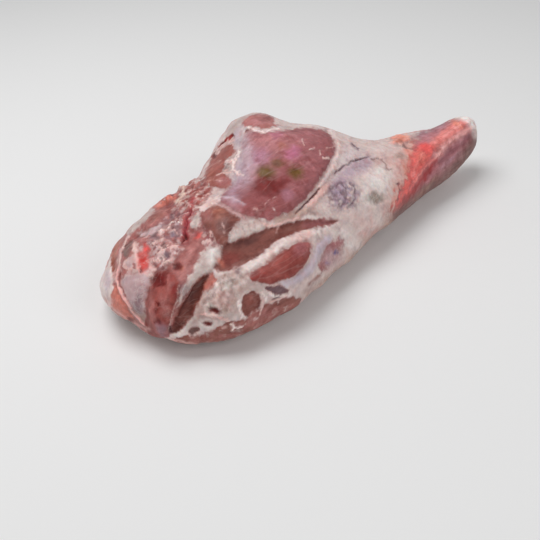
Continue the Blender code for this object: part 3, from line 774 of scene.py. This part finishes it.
class Surface:
    """The leg's fine mesh and what is drawn on it."""

    def __init__(self, mesh):
        count = len(mesh.vertices)
        self.mesh = mesh
        self.points = np.empty(count * 3)
        mesh.vertices.foreach_get("co", self.points)
        self.points = self.points.reshape(-1, 3)
        self.edges = np.empty(len(mesh.edges) * 2, int)
        mesh.edges.foreach_get("vertices", self.edges)
        self.edges = self.edges.reshape(-1, 2)
        self.links = np.bincount(self.edges.ravel(), minlength=count)[:, None]
        self.clear()

    def clear(self):
        """Plain fat all over, with nothing raised."""
        count = len(self.points)
        self.rise = np.zeros(count)
        self.lean = np.zeros(count)
        self.film = np.zeros(count)
        self.lean_colour = np.tile(linear(COLOURS["rose lean"]), (count, 1))
        self.fat_colour = np.tile(linear(COLOURS["cream"]), (count, 1))

    def neighbour_mean(self, values):
        total = np.zeros_like(values)
        a, b = self.edges.T
        for axis in range(values.shape[1]):
            total[:, axis] = np.bincount(a, values[b, axis], len(values))
            total[:, axis] += np.bincount(b, values[a, axis], len(values))
        return total / self.links

    def smooth(self):
        """Even out the steps of the voxels without shrinking the leg."""
        for _ in range(SMOOTH_ROUNDS):
            for share in (SMOOTH_IN, SMOOTH_OUT):
                self.points += share * (self.neighbour_mean(self.points) - self.points)

    def normals(self):
        """The normals of the mesh once the points are written to it."""
        self.mesh.vertices.foreach_set("co", self.points.astype(np.float32).ravel())
        self.mesh.update()
        out = np.empty(len(self.points) * 3)
        self.mesh.vertex_normals.foreach_get("vector", out)
        return out.reshape(-1, 3)

    def paint(self, picked, tissue, tone, cover):
        """Lay a tissue over the picked points, as much of it as cover says."""
        part = cover[:, None]
        if tissue in ("lean", "tint"):
            self.lean_colour[picked] += part * (tone - self.lean_colour[picked])
        if tissue != "lean":
            self.fat_colour[picked] += part * (tone - self.fat_colour[picked])
        if tissue != "tint":
            self.lean[picked] += cover * ((tissue == "lean") - self.lean[picked])
            self.film[picked] += cover * ((tissue == "film") - self.film[picked])

    def lay(self, form, spots, weight, ragged, softness):
        """Raise and paint one form, where spots places the points in the form's drawing."""
        picked, cover, height = form_reach(form, spots, ragged, softness)
        if len(picked) == 0:
            return
        part = weight[picked]
        if "colours" in form:
            points, size, shift = self.points[picked], form["size"], form["shift"]
            lumps = noise_at(points, size, LUMP_SHIFT + shift)
            self.rise[picked] += form["rise"] * lumps * cover * part
            for turn, (tissue, colour, strength) in enumerate(form["colours"]):
                cloud = noise_at(points, size, CLOUD_SHIFT + shift + CLOUD_STEP * turn, 3)
                shown = strength * cover * part * smooth_step(*CLOUD_EDGE, cloud)
                self.paint(picked, tissue, linear(COLOURS[colour]), shown)
            return
        tone = linear(COLOURS[form["colour"]])
        # Painted shade: a muscle's colour darkens towards the edge of its outline.
        if form["tissue"] == "lean" and "edge" in form:
            tone = tone * (1 - RIM_SHADE * (1 - height))[:, None]
        self.rise[picked] += form["rise"] * height * part
        self.paint(picked, form["tissue"], tone, form["strength"] * cover * part)

    def shade_hollows(self):
        """Paint shade on what lies deeper than its surroundings and paint light on what stands
        proud.
        """
        normals, mean = self.normals(), self.points
        for rounds, reach, strength in HOLLOW_SCALES:
            for _ in range(rounds):
                mean = self.neighbour_mean(mean)
            depth = ((mean - self.points) * normals).sum(axis=1) / reach
            # Painted shade where the surface lies deep, painted light where it stands proud.
            shade = 1 - strength * np.clip(depth, *HOLLOW_LIMITS)[:, None]
            self.lean_colour *= shade ** np.array(HOLLOW_SHADE_TINT)
            self.fat_colour *= shade ** np.array(HOLLOW_SHADE_TINT)

    def write_attribute(self, name, kind, field, values):
        attribute = self.mesh.attributes.new(name, kind, "POINT")
        attribute.data.foreach_set(field, values.astype(np.float32).ravel())


def near(spots, path, reach):
    """Which spots can be within reach of the path."""
    low = path.min(axis=0) - reach
    high = path.max(axis=0) + reach
    return np.flatnonzero(((spots > low) & (spots < high)).all(axis=1))


def form_reach(form, spots, ragged, softness):
    """Where a form can show, how much of it covers each spot there, and its height there."""
    if "middle" in form:
        reach = SPOT_SEARCH[0] * max(form["half"]) + SPOT_SEARCH[1]
        picked = near(spots, np.array([form["middle"]], float), reach)
        x, y = (spots[picked] + form["ragged"] * ragged[picked] - form["middle"]).T
        cos, sin = math.cos(form["turn"]), math.sin(form["turn"])
        wide, high = form["half"]
        gap = np.hypot((x * cos - y * sin) / wide, (x * sin + y * cos) / high)
        cover = smooth_step(*SPOT_FADE, gap)
        return picked, cover, cover
    narrow = "width" in form
    if narrow:
        reach = form["width"] + form["soft"]
    else:
        reach = AREA_SEARCH[0] * form["soft"] + AREA_SEARCH[1]
    picked = near(spots, form["line"], reach)
    moved = spots[picked] + form["ragged"] * ragged[picked]
    soft = form["soft"] * softness[picked]
    if narrow:
        gap = path_gap(moved, form["line"])
        half = form["width"] / 2
        cover = smooth_step(half + soft, half - soft, gap)
        return picked, cover, np.clip(1 - (gap / (STRIP_FOOT * half)) ** 2, 0, 1) ** 2
    depth = outline_depth(moved, form["line"])
    share = np.clip((depth + AREA_FOOT) / form["edge"], 0, 1)
    return picked, smooth_step(-soft, soft, depth), 1 - (1 - share) ** 2


def fine_mesh(node):
    """A dense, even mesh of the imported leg."""
    mesh = node.data.copy()
    bm = bmesh.new()
    bm.from_mesh(mesh)
    bmesh.ops.remove_doubles(bm, verts=bm.verts, dist=WELD)
    bm.to_mesh(mesh)
    bm.free()
    leg = bpy.data.objects.new("whole_leg", mesh)
    bpy.context.scene.collection.objects.link(leg)
    remesh = leg.modifiers.new("even", "REMESH")
    remesh.mode = "VOXEL"
    remesh.voxel_size = VOXEL
    graph = bpy.context.evaluated_depsgraph_get()
    fine = bpy.data.meshes.new_from_object(leg.evaluated_get(graph))
    leg.modifiers.clear()
    leg.data = fine
    bpy.data.meshes.remove(mesh)
    return leg


def add_node(tree, kind, inputs, **settings):
    """A node with its settings made and its inputs, by name or number, linked or set."""
    node = tree.nodes.new("ShaderNode" + kind)
    for name, value in settings.items():
        setattr(node, name, value)
    plug_all(tree, node, inputs)
    return node


def plug_all(tree, node, inputs):
    for name, value in inputs.items():
        if isinstance(value, bpy.types.NodeSocket):
            tree.links.new(value, node.inputs[name])
        else:
            node.inputs[name].default_value = value


def math_node(tree, operation, *values):
    return add_node(tree, "Math", dict(enumerate(values)), operation=operation).outputs[0]


def range_node(tree, value, from_low, from_high, to_low, to_high, smooth=True):
    values = dict(enumerate((value, from_low, from_high, to_low, to_high)))
    kind = "SMOOTHSTEP" if smooth else "LINEAR"
    return add_node(tree, "MapRange", values, interpolation_type=kind).outputs["Result"]


def noise_node(tree, vector, scale, detail, roughness=0.55, output="Fac"):
    values = {"Vector": vector, "Scale": scale, "Detail": detail, "Roughness": roughness}
    return add_node(tree, "TexNoise", values).outputs[output]


def mix_colours(tree, share, first, second, blend="MIX"):
    values = {"Factor": share, 6: first, 7: second}
    return add_node(tree, "Mix", values, data_type="RGBA", blend_type=blend).outputs[2]


def new_group(name, inputs, outputs):
    """A node group, what its inputs give, and its output node. Sockets are name: kind."""
    group = bpy.data.node_groups.new(name, "ShaderNodeTree")
    for in_out, sockets in (("INPUT", inputs), ("OUTPUT", outputs)):
        for socket, kind in sockets.items():
            kind = "NodeSocket" + kind
            group.interface.new_socket(socket, in_out=in_out, socket_type=kind)
    start = group.nodes.new("NodeGroupInput")
    return group, start.outputs, group.nodes.new("NodeGroupOutput")


def muscle_grain_group():
    """Fine fibres that run along the muscle, as a shade and a height."""
    group, given, end = new_group(
        "muscle_grain", {"Fibre": "Vector", "Fibres Across": "Float", "Depth": "Float"},
        {"Shade": "Float", "Height": "Float"},
    )
    fibres = noise_node(group, given["Fibre"], given["Fibres Across"], 3)
    bundles_across = math_node(group, "MULTIPLY", given["Fibres Across"], BUNDLE_SCALE)
    bundles = noise_node(group, given["Fibre"], bundles_across, 2)
    both = math_node(group, "ADD", fibres, bundles)
    centred = math_node(group, "SUBTRACT", both, 1.0)
    shade = math_node(group, "MULTIPLY_ADD", centred, given["Depth"], 1.0)
    plug_all(group, end, {"Shade": shade, "Height": centred})
    return group


def fat_lobule_group():
    """Small soft lobules of fat, as a shade and a height."""
    group, given, end = new_group(
        "fat_lobules", {"Place": "Vector", "Lobules": "Float", "Depth": "Float"},
        {"Shade": "Float", "Height": "Float"},
    )
    cells = add_node(group, "TexVoronoi", {
        "Vector": given["Place"], "Scale": given["Lobules"], "Smoothness": 0.6,
    }, feature="SMOOTH_F1")
    clouds_across = math_node(group, "MULTIPLY", given["Lobules"], LOBULE_CLOUD_SCALE)
    cloud = noise_node(group, given["Place"], clouds_across, 4)
    height = math_node(group, "SUBTRACT", cloud, cells.outputs["Distance"])
    shade = math_node(group, "MULTIPLY_ADD", height, given["Depth"], 1.0)
    plug_all(group, end, {"Shade": shade, "Height": height})
    return group


def uneven_tone_group():
    """A colour with clouds in which it is multiplied by a warm tone or a pale one."""
    group, given, end = new_group("uneven_tone", {
        "Colour": "Color", "Place": "Vector", "Patches": "Float", "Warm": "Color",
        "Warm Share": "Float", "Pale": "Color", "Pale Share": "Float",
    }, {"Colour": "Color"})
    clouds = noise_node(group, given["Place"], given["Patches"], 5, 0.62, "Color")
    parts = add_node(group, "SeparateColor", {0: clouds})
    colour = given["Colour"]
    for channel, tone in (("Red", "Warm"), ("Green", "Pale")):
        cloud = range_node(group, parts.outputs[channel], *TONE_CLOUDS, 0.0, 1.0)
        share = math_node(group, "MULTIPLY", cloud, given[tone + " Share"])
        colour = mix_colours(group, share, colour, given[tone], "MULTIPLY")
    plug_all(group, end, {"Colour": colour})
    return group


def tissue_web_group():
    """Thin crooked strands that join into a web, in patches, as a mask."""
    group, given, end = new_group("tissue_web", {
        "Place": "Vector", "Strands": "Float", "Width": "Float", "Patches": "Float",
    }, {"Mask": "Float"})
    warp = add_node(group, "TexNoise", {
        "Vector": given["Place"], "Scale": given["Strands"], "Detail": 3,
    })
    crooked = add_node(group, "VectorMath", {
        0: warp.outputs["Color"], 1: CROOKED, 2: given["Place"],
    }, operation="MULTIPLY_ADD")
    cells = add_node(group, "TexVoronoi", {
        "Vector": crooked.outputs[0], "Scale": given["Strands"],
    }, feature="DISTANCE_TO_EDGE")
    strands = range_node(group, cells.outputs["Distance"], 0.0, given["Width"], 1.0, 0.0)
    cloud = noise_node(group, given["Place"], given["Patches"], 2)
    patch = range_node(group, cloud, *WEB_PATCHES, 0.0, 1.0)
    plug_all(group, end, {"Mask": math_node(group, "MULTIPLY", strands, patch)})
    return group


def torn_edge_group():
    """A mask whose soft edge is made ragged and narrow."""
    group, given, end = new_group("torn_edge", {
        "Mask": "Float", "Place": "Vector", "Tear Size": "Float", "Tear": "Float",
    }, {"Mask": "Float"})
    tears = noise_node(group, given["Place"], given["Tear Size"], 3)
    centred = math_node(group, "SUBTRACT", tears, 0.5)
    moved = math_node(group, "MULTIPLY_ADD", centred, given["Tear"], given["Mask"])
    plug_all(group, end, {"Mask": range_node(group, moved, *TORN_EDGE, 0.0, 1.0)})
    return group


def place_group(tree, group, **values):
    """Use a group. A blank in the name of an input is written as an underscore."""
    values = {name.replace("_", " "): value for name, value in values.items()}
    return add_node(tree, "Group", values, node_tree=group).outputs


def read_attribute(tree, name, output):
    return add_node(tree, "Attribute", {}, attribute_name=name).outputs[output]


def meat_material():
    material = bpy.data.materials.new("raw_meat_and_fat")
    material.use_nodes = True
    tree = material.node_tree
    shader = tree.nodes["Principled BSDF"]
    place = tree.nodes.new("ShaderNodeTexCoord").outputs["Object"]

    lean = read_attribute(tree, "lean", "Fac")
    film = read_attribute(tree, "film", "Fac")
    fibre = read_attribute(tree, "fibre", "Vector")
    grain = place_group(
        tree, muscle_grain_group(), Fibre=fibre, Fibres_Across=900.0, Depth=FIBRE_SHADE
    )
    bare = math_node(tree, "MULTIPLY_ADD", film, -FILM_HIDES, 1.0)
    lobules = place_group(
        tree, fat_lobule_group(), Place=place, Lobules=420.0,
        Depth=math_node(tree, "MULTIPLY", bare, LOBULE_SHADE),
    )
    lean_share = place_group(
        tree, torn_edge_group(), Mask=lean, Place=place, Tear_Size=520.0, Tear=0.85
    )["Mask"]
    webs = tissue_web_group()
    lean_web = place_group(tree, webs, Place=fibre, Strands=150.0, Width=0.08, Patches=70.0)
    fat_web = place_group(tree, webs, Place=place, Strands=190.0, Width=0.12, Patches=90.0)
    tones = uneven_tone_group()

    def finished(colour, shade, web, web_share, web_colour, **tone):
        """A drawn colour with its fine shade, its clouds of other tones and its web."""
        drawn = read_attribute(tree, colour, "Color")
        shaded = mix_colours(tree, 1.0, drawn, shade, "MULTIPLY")
        toned = place_group(tree, tones, Colour=shaded, Place=place, **tone)["Colour"]
        share = math_node(tree, "MULTIPLY", web["Mask"], web_share)
        return mix_colours(tree, share, toned, web_colour)

    lean_shown = finished(
        "lean_colour", grain["Shade"], lean_web, web_share=0.14,
        web_colour=(0.60, 0.42, 0.39, 1), Patches=120.0,
        Warm=(0.66, 0.44, 0.42, 1), Warm_Share=0.6,
        Pale=(1.45, 1.7, 1.75, 1), Pale_Share=0.5,
    )
    fat_shown = finished(
        "fat_colour", lobules["Shade"], fat_web, web_share=0.35,
        web_colour=(0.74, 0.66, 0.62, 1), Patches=95.0,
        Warm=(0.92, 0.66, 0.62, 1), Warm_Share=0.5,
        Pale=(0.72, 0.72, 0.76, 1), Pale_Share=0.6,
    )

    sheen_spots = noise_node(tree, place, 90.0, 3)
    dryness = range_node(tree, sheen_spots, *SHEEN_CLOUDS, *DAMP_TO_DRY, smooth=False)
    film_gloss = math_node(tree, "MULTIPLY", film, -FILM_GLOSS)

    fat_height = math_node(tree, "MULTIPLY", lobules["Height"], bare)
    lean_height = math_node(tree, "MULTIPLY", grain["Height"], FIBRE_HEIGHT)
    height = add_node(tree, "Mix", {"Factor": lean_share, 2: fat_height, 3: lean_height})
    bump = add_node(tree, "Bump", {
        "Strength": 0.5, "Distance": 0.0006, "Height": height.outputs[0],
    })

    plug_all(tree, shader, {
        "Base Color": mix_colours(tree, lean_share, fat_shown, lean_shown),
        "Roughness": math_node(tree, "ADD", dryness, film_gloss),
        "Normal": bump.outputs["Normal"],
        "Subsurface Weight": 0.25,
        "Subsurface Radius": (1.0, 0.35, 0.22),
        "Subsurface Scale": 0.004,
        "Specular IOR Level": 0.22,
        "Coat Weight": 0.11,
        "Coat Roughness": 0.26,
    })
    return material


def shape_outline(surface):
    """Ease the leg's outline to the photo's, sideways to the camera or along the rest."""
    right, up, back = camera_axes()
    ground = np.array([-back[0], -back[1], 0]) / (back[2] * math.hypot(back[0], back[1]))
    for middle, half, (across, down) in OUTLINE_SHIFTS:
        spots = photo_pixels(surface.points)
        gap = np.hypot(*((spots - middle) / half).T)
        away = (np.array(CAMERA_PLACE) - surface.points) @ back
        pixel = smooth_step(1.0, 0.0, gap) * away * SENSOR_MM / (PHOTO_SIDE * LENS_MM)
        lift = smooth_step(*SHIFT_HEIGHTS, surface.points[:, 2])[:, None]
        rising = lift * up + (1 - lift) * ground
        surface.points += pixel[:, None] * (across * right - down * rising)


def draw_forms(surface):
    """Raise and paint all forms, and paint shade into the hollows and light onto what stands
    proud.
    """
    normals = surface.normals()
    points = surface.points.copy()
    to_camera = np.array(CAMERA_PLACE) - points
    to_camera /= np.linalg.norm(to_camera, axis=1)[:, None]
    shown = smooth_step(*PHOTO_FADE, (normals * to_camera).sum(axis=1))
    hidden = (1 - shown) * smooth_step(*FAR_FADE, normals[:, 1])
    stray = [noise_at(points, RAGGED_SIZE, shift) for shift in RAGGED_SHIFTS]
    ragged = np.stack(stray, axis=-1) * RAGGED_REACH
    softness = SOFTNESS_MEAN + SOFTNESS_SWING * noise_at(points, SOFTNESS_SIZE, SOFTNESS_SHIFT)
    softness = np.clip(softness, *SOFTNESS_LIMITS)

    # The forms are laid once for their heights, and again where the raised surface shows them.
    photo_forms = [form for part in PHOTO_FORMS for form in part.values()]
    spots = photo_pixels(points)
    for form in photo_forms:
        surface.lay(form, spots, shown, ragged, softness)
    spots = photo_pixels(points + normals * (surface.rise * MILLIMETRE)[:, None])
    side_on = points[:, [0, 2]] / MILLIMETRE
    surface.clear()
    for form in FAR_SIDE.values():
        surface.lay(form, side_on, hidden, ragged, softness)
    for form in photo_forms:
        surface.lay(form, spots, shown, ragged, softness)

    lumps = sum(height * noise_at(points, size, shift) for height, size, shift in LUMPS)
    free = smooth_step(0.0, REST_FADE, points[:, 2])
    surface.points += normals * ((surface.rise + lumps) * free * MILLIMETRE)[:, None]
    surface.points[:, 2] = np.maximum(surface.points[:, 2], 0)
    surface.shade_hollows()
    return points


def whole_leg():
    leg = fine_mesh(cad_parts[NODE])
    surface = Surface(leg.data)
    surface.smooth()
    shape_outline(surface)
    surface.points[:, 2] = np.maximum(surface.points[:, 2], 0)
    plain = draw_forms(surface)

    surface.write_attribute("lean", "FLOAT", "value", surface.lean)
    surface.write_attribute("film", "FLOAT", "value", surface.film)
    for name in ("lean_colour", "fat_colour"):
        colours = np.insert(getattr(surface, name), 3, 1, axis=1)
        surface.write_attribute(name, "FLOAT_COLOR", "color", colours)
    surface.write_attribute("fibre", "FLOAT_VECTOR", "vector", plain * FIBRE_STRETCH)
    leg.data.materials.clear()
    leg.data.materials.append(meat_material())
    leg.data.shade_smooth()
    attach(leg, "root")
    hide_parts(NODE)


def camera():
    right, up, back = camera_axes()
    data = bpy.data.cameras.new("camera")
    data.lens = LENS_MM
    data.sensor_width = SENSOR_MM
    made = bpy.data.objects.new("camera", data)
    turn = Matrix(np.stack([right, up, back], axis=1).tolist()).to_4x4()
    made.matrix_world = Matrix.Translation(CAMERA_PLACE) @ turn
    bpy.context.scene.collection.objects.link(made)
    bpy.context.scene.camera = made


def floor():
    bm = bmesh.new()
    bmesh.ops.create_grid(bm, x_segments=1, y_segments=1, size=FLOOR_REACH)
    mesh = bpy.data.meshes.new("floor")
    bm.to_mesh(mesh)
    bm.free()
    made = bpy.data.objects.new("floor", mesh)
    material = bpy.data.materials.new("pale_floor")
    material.use_nodes = True
    shader = material.node_tree.nodes["Principled BSDF"]
    shader.inputs["Base Color"].default_value = FLOOR_COLOUR
    shader.inputs["Roughness"].default_value = 0.9
    mesh.materials.append(material)
    bpy.context.scene.collection.objects.link(made)


def area_light(name, place, size, power):
    data = bpy.data.lights.new(name, "AREA")
    data.size = size
    data.energy = power
    made = bpy.data.objects.new(name, data)
    made.location = place
    turn = (Vector(LAMP_AIM) - Vector(place)).to_track_quat("-Z", "Y")
    made.rotation_euler = turn.to_euler()
    bpy.context.scene.collection.objects.link(made)


def lights():
    world = bpy.data.worlds.new("studio")
    world.use_nodes = True
    background = world.node_tree.nodes["Background"]
    background.inputs["Color"].default_value = (1, 1, 1, 1)
    background.inputs["Strength"].default_value = DAYLIGHT
    bpy.context.scene.world = world
    area_light("key", (-0.25, 0.35, 1.35), size=1.0, power=13.0)
    area_light("fill", (0.1, -1.3, 0.9), size=0.9, power=4.0)


camera()
lights()
floor()
whole_leg()
bpy.context.scene.view_settings.view_transform = "Standard"
